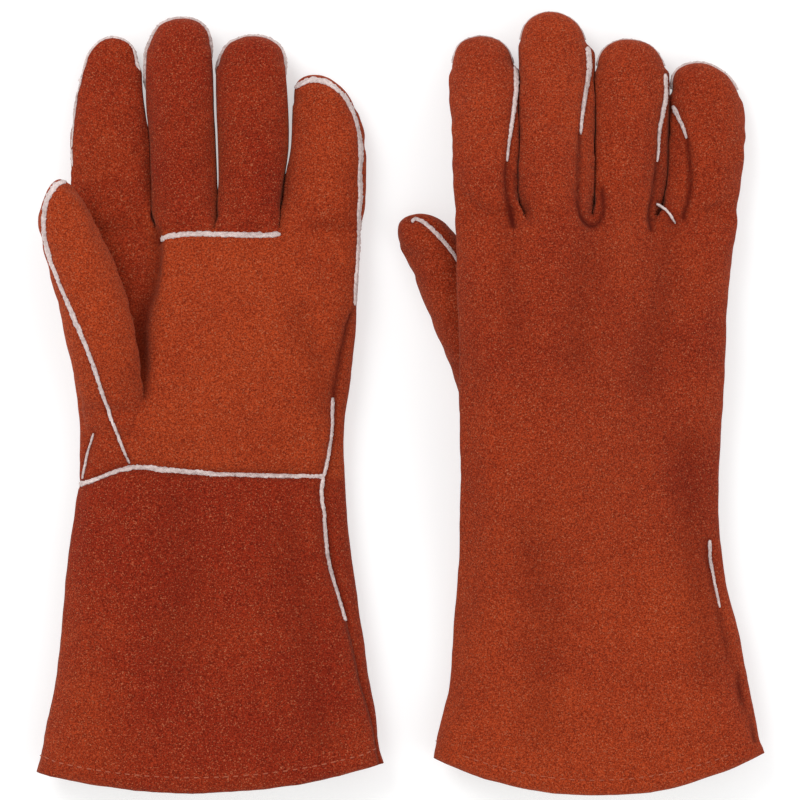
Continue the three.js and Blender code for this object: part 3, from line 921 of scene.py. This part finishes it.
# The root end of the thumb, sunk in the hand, is cut away, so the hand is open inside.
hand_only = tree_of(lambda name: "thumb" not in name)
sunk = set()
for i in sorted(thumb_points):
    where, normal, _, _ = hand_only.find_nearest(Vector(points[i]))
    root_end = GLOVES["left" if points[i][0] < 0 else "right"]["thumb"][0][0] + SHIFT[1] + ROOT_LENGTH
    if points[i][1] < root_end and (Vector(points[i]) - where).dot(normal) < -SUNK:
        sunk.add(i)
kept = [k for k, f in enumerate(faces) if not all(v in sunk for v in f)]
faces = [faces[k] for k in kept]
labels = labels[kept]


# ---------------------------------------------------------------- materials
def node(tree, kind, **values):
    made = tree.nodes.new(kind)
    for k, v in values.items():
        setattr(made, k, v)
    return made


def set_inputs(made, values):
    for socket, value in values.items():
        made.inputs[socket].default_value = value


def new_material(name):
    material = bpy.data.materials.new(name)
    material.use_nodes = True
    return material, material.node_tree, material.node_tree.nodes["Principled BSDF"]


def noise_at(tree, coords, scale, detail, rough=0.6, distortion=0.0):
    n = node(tree, "ShaderNodeTexNoise")
    set_inputs(n, {"Scale": scale, "Detail": detail, "Roughness": rough, "Distortion": distortion})
    tree.links.new(coords, n.inputs["Vector"])
    return n.outputs["Fac"]


def ramp(tree, value, stops):
    r = node(tree, "ShaderNodeValToRGB")
    while len(r.color_ramp.elements) < len(stops):
        r.color_ramp.elements.new(0.5)
    for e, (where, colour) in zip(r.color_ramp.elements, stops):
        e.position = where
        e.color = (*colour, 1)
    tree.links.new(value, r.inputs["Fac"])
    return r.outputs["Color"]


def mix(tree, a, b, factor, kind="MIX"):
    m = node(tree, "ShaderNodeMix", data_type="RGBA", blend_type=kind)
    for socket, value in (("A", a), ("B", b)):
        target = [s for s in m.inputs if s.name == socket and s.type == "RGBA"][0]
        if isinstance(value, tuple):
            target.default_value = (*value, 1)
        else:
            tree.links.new(value, target)
    if isinstance(factor, float):
        m.inputs["Factor"].default_value = factor
    else:
        tree.links.new(factor, m.inputs["Factor"])
    return [s for s in m.outputs if s.type == "RGBA"][0]


def roughen(tree, shader, height, strength, distance):
    bump = node(tree, "ShaderNodeBump")
    set_inputs(bump, {"Strength": strength, "Distance": distance})
    tree.links.new(height, bump.inputs["Height"])
    tree.links.new(bump.outputs["Normal"], shader.inputs["Normal"])


def suede(name, light, dark, seed):
    material, tree, shader = new_material(name)
    coords = node(tree, "ShaderNodeTexCoord").outputs["Object"]
    offset = node(tree, "ShaderNodeVectorMath", operation="ADD")
    offset.inputs[1].default_value = (seed, seed * 0.7, seed * 0.3)
    tree.links.new(coords, offset.inputs[0])
    coords = offset.outputs["Vector"]
    patches = noise_at(tree, coords, 11, 6, 0.62, 0.8)
    blotch = noise_at(tree, coords, 55, 5, 0.68, 0.4)
    shade = node(tree, "ShaderNodeAttribute", attribute_name="tone").outputs["Fac"]
    for value, spread in ((patches, 1.5), (blotch, 0.75)):
        away = node(tree, "ShaderNodeMath", operation="MULTIPLY_ADD")
        away.inputs[1].default_value = spread
        away.inputs[2].default_value = -spread / 2
        tree.links.new(value, away.inputs[0])
        total = node(tree, "ShaderNodeMath", operation="ADD")
        tree.links.new(shade, total.inputs[0])
        tree.links.new(away.outputs[0], total.inputs[1])
        shade = total.outputs[0]
    base = ramp(tree, shade, [(0.0, dark), (1.0, light)])
    nap = noise_at(tree, coords, 700, 3, 0.75)
    grain = ramp(tree, nap, [(0.36, (0.74, 0.66, 0.66)), (0.64, (1.26, 1.34, 1.34))])
    base = mix(tree, base, grain, 0.5, "MULTIPLY")
    speck = noise_at(tree, coords, 1400, 2, 0.8)
    specks = ramp(tree, speck, [(0.38, (0.55, 0.42, 0.4)), (0.62, (1.42, 1.62, 1.7))])
    base = mix(tree, base, specks, 0.85, "MULTIPLY")
    fibre = noise_at(tree, coords, 1500, 1, 0.5)
    pale = ramp(tree, fibre, [(0.6, (0, 0, 0)), (0.74, (1, 1, 1))])
    base = mix(tree, base, (light[0] * 1.4, light[1] * 3.4, light[2] * 6.5), pale)
    # painted shade: the suede is darkened in seams, folds and between fingers, by the shade value stored on
    # the skin
    painted_crease_shade = node(tree, "ShaderNodeAttribute", attribute_name="crease_shade")
    base = mix(tree, base, (dark[0] * 0.4, dark[1] * 0.36, dark[2] * 0.4), painted_crease_shade.outputs["Fac"])
    tree.links.new(base, shader.inputs["Base Color"])
    set_inputs(shader, {"Roughness": 0.96, "Specular IOR Level": 0.06, "Sheen Weight": 0.1,
                        "Sheen Roughness": 0.5, "Sheen Tint": (1.0, 0.55, 0.38, 1)})
    height = mix(tree, noise_at(tree, coords, 900, 4, 0.75), noise_at(tree, coords, 160, 4, 0.6), 0.45)
    roughen(tree, shader, height, 0.7, 0.0012)
    return material


def plain(name, light, dark, scale, rough=0.92, strength=0.5):
    material, tree, shader = new_material(name)
    coords = node(tree, "ShaderNodeTexCoord").outputs["Object"]
    grain = noise_at(tree, coords, scale, 5, 0.7)
    broad = noise_at(tree, coords, scale / 14, 3)
    base = mix(tree, ramp(tree, grain, [(0.3, dark), (0.65, light)]),
               ramp(tree, broad, [(0.35, dark), (0.65, light)]), 0.35)
    tree.links.new(base, shader.inputs["Base Color"])
    set_inputs(shader, {"Roughness": rough, "Specular IOR Level": 0.15, "Sheen Weight": 0.15})
    roughen(tree, shader, grain, strength, 0.0008)
    return material


SUEDE = {
    "left": suede("suede left", (0.275, 0.032, 0.0075), (0.184, 0.0137, 0.0041), 0.0),
    "right": suede("suede right", (0.275, 0.0315, 0.0075), (0.172, 0.0138, 0.0045), 3.7),
}
WELT = plain("welting", (0.8, 0.67, 0.64), (0.3, 0.215, 0.205), 620, 0.95, 0.9)
COTTON = plain("cotton lining", (0.7, 0.62, 0.47), (0.5, 0.43, 0.32), 900, 0.95, 0.7)
THREAD = plain("thread", (0.42, 0.1, 0.045), (0.27, 0.05, 0.02), 1200, 0.8, 0.4)


def bend(obj):
    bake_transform(obj)


def skin_piece(used_faces, name, inward=0.0, material=None, thick=0.0):
    """One panel as its own mesh, shaded as if it was still joined to its neighbours."""
    used = sorted({v for f in used_faces for v in faces[f]})
    lookup = {v: i for i, v in enumerate(used)}
    own = [[lookup[v] for v in faces[f]] for f in used_faces]
    place = points[used] - normals[used] * inward
    lines = normals[used]
    if inward:
        place[:, 2] = np.maximum(place[:, 2], 0.3 + inward)
        own = [f[::-1] for f in own]
        lines = -lines
    shade, tones = crease_shade[used], tone[used]
    if thick:
        # a second face further in, joined round the open edge
        count = len(used)
        inner = points[used] - normals[used] * thick
        inner[:, 2] = np.maximum(inner[:, 2], 0.2 + thick * 0.5)
        edges = {}
        for f in own:
            for a, b in zip(f, f[1:] + f[:1]):
                edges[(a, b)] = edges.get((b, a)) is None
        rim = [(a, b) for (a, b) in edges if (b, a) not in edges]
        own = own + [[v + count for v in f[::-1]] for f in own]
        own += [[b, a, a + count, b + count] for a, b in rim]
        place = np.concatenate([place, inner])
        lines = np.concatenate([lines, -lines])
        shade, tones = np.concatenate([shade, shade]), np.concatenate([tones, tones])
    mesh = make_mesh(name, place / 1000, own)
    mesh.polygons.foreach_set("use_smooth", [True] * len(mesh.polygons))
    shading = [tuple(v.normal) for v in mesh.vertices]
    for i, n in enumerate(lines):
        if not thick or place[i][1] - SHIFT[1] > -60:
            shading[i] = tuple(n)
    mesh.normals_split_custom_set_from_vertices(shading)
    for attribute, values in (("crease_shade", shade), ("tone", tones)):
        mesh.attributes.new(attribute, "FLOAT", "POINT").data.foreach_set("value", values.astype(np.float32))
    mesh.materials.append(material or SUEDE[name.split("_")[0]])
    return link(bpy.data.objects.new(name, mesh))


for number, label in enumerate(skin.names):
    chosen = [int(f) for f in np.nonzero(labels == number)[0]]
    obj = skin_piece(chosen, label + "_skin", thick=LEATHER if "cuff" in label else 0.0)
    bend(obj)
    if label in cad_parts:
        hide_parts(label)

# the lining follows the inside of the cuff and hand
for side, g in GLOVES.items():
    for part, names in (("cuff_lining", ("cuff_front", "cuff_back")), ("hand_lining", ("palm", "hand_back"))):
        numbers = [skin.names.index(side + "_" + n) for n in names]
        left_y, right_y, bow = g["hem"]
        hem_left, hem_right = g["body"][0][1], g["body"][0][2]
        chosen = []
        for n in numbers:
            for f in np.nonzero(labels == n)[0]:
                middle = points[list(faces[f])].mean(0) - SHIFT
                u = 2 * (middle[0] - hem_left) / (hem_right - hem_left) - 1
                hem_here = left_y + (right_y - left_y) * (u + 1) / 2 - bow * (1 - min(1, u * u))
                if hem_here + LINING_EDGE < middle[1] < g["crotch"] - LINING_END:
                    chosen.append(int(f))
        obj = skin_piece(chosen, side + "_" + part + "_cloth", inward=LINING_DEPTH, material=COTTON)
        bend(obj)
        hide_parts(side + "_" + part)


# ---------------------------------------------------------------- welts
def tube_faces(rings, around, base=0):
    """Faces of a closed tube, for points in rings."""
    own = []
    for i in range(rings - 1):
        for j in range(around):
            a, b = base + i * around + j, base + i * around + (j + 1) % around
            own.append([a, b, b + around, a + around])
    first = list(range(base, base + around))
    own.append(first[::-1])
    own.append([v + (rings - 1) * around for v in first])
    return own


def sweep(line, width, height, seed, tree, sink=0.9):
    """A flat strip standing in its seam, with frayed edges. Width and height go along the line."""
    line = np.array(line)
    rng = np.random.default_rng(seed)
    found, ups = [], []
    for p in line:
        where, normal, _, _ = tree.find_nearest(Vector(p))
        found.append(np.array(where))
        ups.append(np.array(normal))
    found, ups = smoothed(np.array(found), 14), smoothed(np.array(ups), 14)
    ups /= np.linalg.norm(ups, axis=1)[:, None]
    ways = np.gradient(found, axis=0)
    ways /= np.maximum(1e-9, np.linalg.norm(ways, axis=1))[:, None]
    sides = np.cross(ways, ups)
    sides /= np.maximum(1e-9, np.linalg.norm(sides, axis=1))[:, None]
    n = len(line)
    width = smoothed(np.broadcast_to(width, n), 6)
    height = smoothed(np.broadcast_to(height, n), 6)
    taper = np.minimum(1, np.minimum(np.arange(n) + 1.5, n - np.arange(n) + 0.5) / 3)
    ring = [(-0.5, -1), (-0.5, 0.75), (-0.28, 1.0), (0, 0.9), (0.28, 1.0), (0.5, 0.75), (0.5, -1)]
    verts = []
    for i in range(n):
        for a, b in ring:
            ragged = np.clip(rng.normal(0, 0.1), -0.2, 0.2) if b > 0 else 0
            s = (a + ragged) * width[i] * taper[i]
            h = -sink
            if b > 0:
                h = b * height[i] * (0.6 + 0.4 * taper[i]) + np.clip(rng.normal(0, 0.1), -0.2, 0.2)
            verts.append(found[i] + sides[i] * s + ups[i] * h)
    verts = np.array(verts)
    verts[:, 2] = np.maximum(verts[:, 2], 0.05)
    return verts, tube_faces(n, len(ring))


def strip(name, parts, node_name=None, material=WELT):
    points_all, faces_all, base = [], [], 0
    for verts, own in parts:
        points_all.append(verts)
        faces_all += [[v + base for v in f] for f in own]
        base += len(verts)
    mesh = make_mesh(name, np.concatenate(points_all) / 1000, faces_all)
    bm = bmesh.new()
    bm.from_mesh(mesh)
    bmesh.ops.recalc_face_normals(bm, faces=bm.faces)
    bm.to_mesh(mesh)
    bm.free()
    mesh.polygons.foreach_set("use_smooth", [True] * len(mesh.polygons))
    mesh.materials.append(material)
    obj = link(bpy.data.objects.new(name, mesh))
    bend(obj)
    if node_name:
        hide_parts(node_name)


def welt_size(seam, line):
    """Width and height of a welt along its line. It swells over a tip and is squeezed between fingers."""
    x, y = (line - SHIFT)[:, 0], (line - SHIFT)[:, 1]
    name = seam["name"]
    if "widths" in seam:
        along = np.linspace(0, 1, len(line))
        wide = seam["widths"][0] * (1 - along) + seam["widths"][1] * along
        return wide, np.minimum(0.95, 0.45 + wide * 0.25)
    if "tip" not in seam:
        wide = {"wrist_welt": 2.5, "finger_base_welt": 2.6, "side_welt": 1.7, "side_welt_hand": 1.8}
        return wide.get(name.split("_", 1)[1], 2.0), 0.85
    reach = np.where((x < seam["middle"]) & (name == "left_middle_welt"), 38, 21)
    over = np.array([ease((v - seam["tip"] + k) / 9) for v, k in zip(y, reach)])
    if name == "right_little_welt":
        return 0.8 + 1.2 * over, 0.35 + 0.8 * over
    if name.startswith("right"):
        return 0.8 + 0.3 * over, 0.35 + 0.35 * over
    outer = np.zeros(len(line))
    if name == "left_index_welt":
        outer = 0.25 - 0.25 * np.array([ease((v - seam["middle"]) / 6) for v in x])
        over = over * 0.55
    wide = 0.7 + 2.4 * np.maximum(over, outer)
    return wide, -0.1 + 1.7 * over + 1.1 * outer * (1 - over)


welts = {}
for number, (seam, line) in enumerate(seam_lines):
    if seam["welt"]:
        wide, tall = welt_size(seam, line)
        tree = surface
        if "tip" in seam:  # round a finger, so on that finger alone
            finger_name = seam["name"].removesuffix("welt")
            tree = tree_of(lambda name: name.startswith(finger_name))
        welts.setdefault(seam["name"], []).append(sweep(line, wide, tall, number, tree))
for name, parts in welts.items():
    side, rest_of = name.split("_", 1)
    on_digit = rest_of.startswith((*DIGITS, "thumb")) and "root" not in rest_of
    kind = side + "_" + (rest_of.split("_")[0] if on_digit else "hand")
    strip(name + "_strip", parts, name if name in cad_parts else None)


# ---------------------------------------------------------------- stitches along the hem
def stitch_row(line, radius, length=2.7, gap=1.5):
    verts, own, base = [], [], 0
    spacing = 0.9
    line = resample(line, spacing)
    step = int(round((length + gap) / spacing))
    reach = int(round(length / spacing))
    for i in range(0, len(line) - reach - 1, step):
        a, b = line[i], line[i + reach]
        where, normal, _, _ = surface.find_nearest(Vector((a + b) / 2))
        up = np.array(normal)
        way = b - a
        way /= max(1e-9, np.linalg.norm(way))
        across_way = np.cross(way, up)
        points_here = []
        for f, r in ((-0.5, 0.35), (-0.3, 1.0), (0.3, 1.0), (0.5, 0.35)):
            centre = np.array(where) + way * f * length + up * (0.1 if r == 1 else -0.25)
            for q in range(5):
                t = 2 * math.pi * q / 5
                points_here.append(centre + radius * r * (across_way * math.cos(t) + up * math.sin(t)))
        own += tube_faces(4, 5, base)
        verts += points_here
        base += len(points_here)
    return np.array(verts), own


for side, g in GLOVES.items():
    for label in ("cuff_front", "cuff_back"):
        kind = "top" if label == "cuff_front" else "bottom"
        ids = [skin.index[(side, "H", 2, kind, j)] for j in range(TOP_COLUMNS * 4 + 1)]
        line = settled[ids]
        hem = settled[[skin.index[(side, "H", 0, kind, j)] for j in range(TOP_COLUMNS * 4 + 1)]]
        line = hem + (line - hem) / np.linalg.norm(line - hem, axis=1)[:, None] * HEM_STITCHES
        row = stitch_row(line, 0.34 if side == "left" else 0.26)
        strip(side + "_" + label + "_thread", [row], material=THREAD)


# ---------------------------------------------------------------- floor, light and camera
bpy.ops.mesh.primitive_plane_add(size=60)
floor = bpy.context.object
floor.name = "floor"
floor_material, _, floor_shader = new_material("floor")
set_inputs(floor_shader, {"Base Color": (0.5, 0.5, 0.5, 1), "Emission Color": (1, 1, 1, 1),
                          "Emission Strength": 0.5, "Roughness": 0.9})
floor.data.materials.append(floor_material)


def area(name, place, aim, size, power, colour=(1, 1, 1)):
    light = bpy.data.lights.new(name, "AREA")
    light.shape = "DISK"
    light.size = size
    light.energy = power
    light.color = colour
    lamp = link(bpy.data.objects.new(name, light))
    lamp.location = place
    lamp.rotation_euler = (Vector(aim) - Vector(place)).to_track_quat("-Z", "Y").to_euler()


area("key", (-0.9, 1.1, 1.7), (0, 0, 0), 1.1, 19)
area("fill", (1.3, -0.6, 1.6), (0, 0, 0), 1.4, 8)
world = bpy.data.worlds.new("studio")
bpy.context.scene.world = world
world.use_nodes = True
set_inputs(world.node_tree.nodes["Background"], {"Color": (1, 1, 1, 1), "Strength": 0.9})

camera_data = bpy.data.cameras.new("camera")
camera = link(bpy.data.objects.new("camera", camera_data))
SENSOR = 36
DISTANCE = 2.2
MIDDLE_HEIGHT = 0.026
FIELD = 0.365  # width of what the camera sees at the gloves' middle height
camera_data.sensor_width = SENSOR
camera_data.lens = SENSOR * (DISTANCE - MIDDLE_HEIGHT) / FIELD
camera_data.clip_end = 20
camera_data.dof.use_dof = False
camera.location = ((SHIFT[0] - 0.23) / 1000, (SHIFT[1] + 0.6) / 1000, DISTANCE)
camera.rotation_euler = (0, 0, 0)
bpy.context.scene.camera = camera
bpy.context.scene.view_settings.view_transform = "Standard"
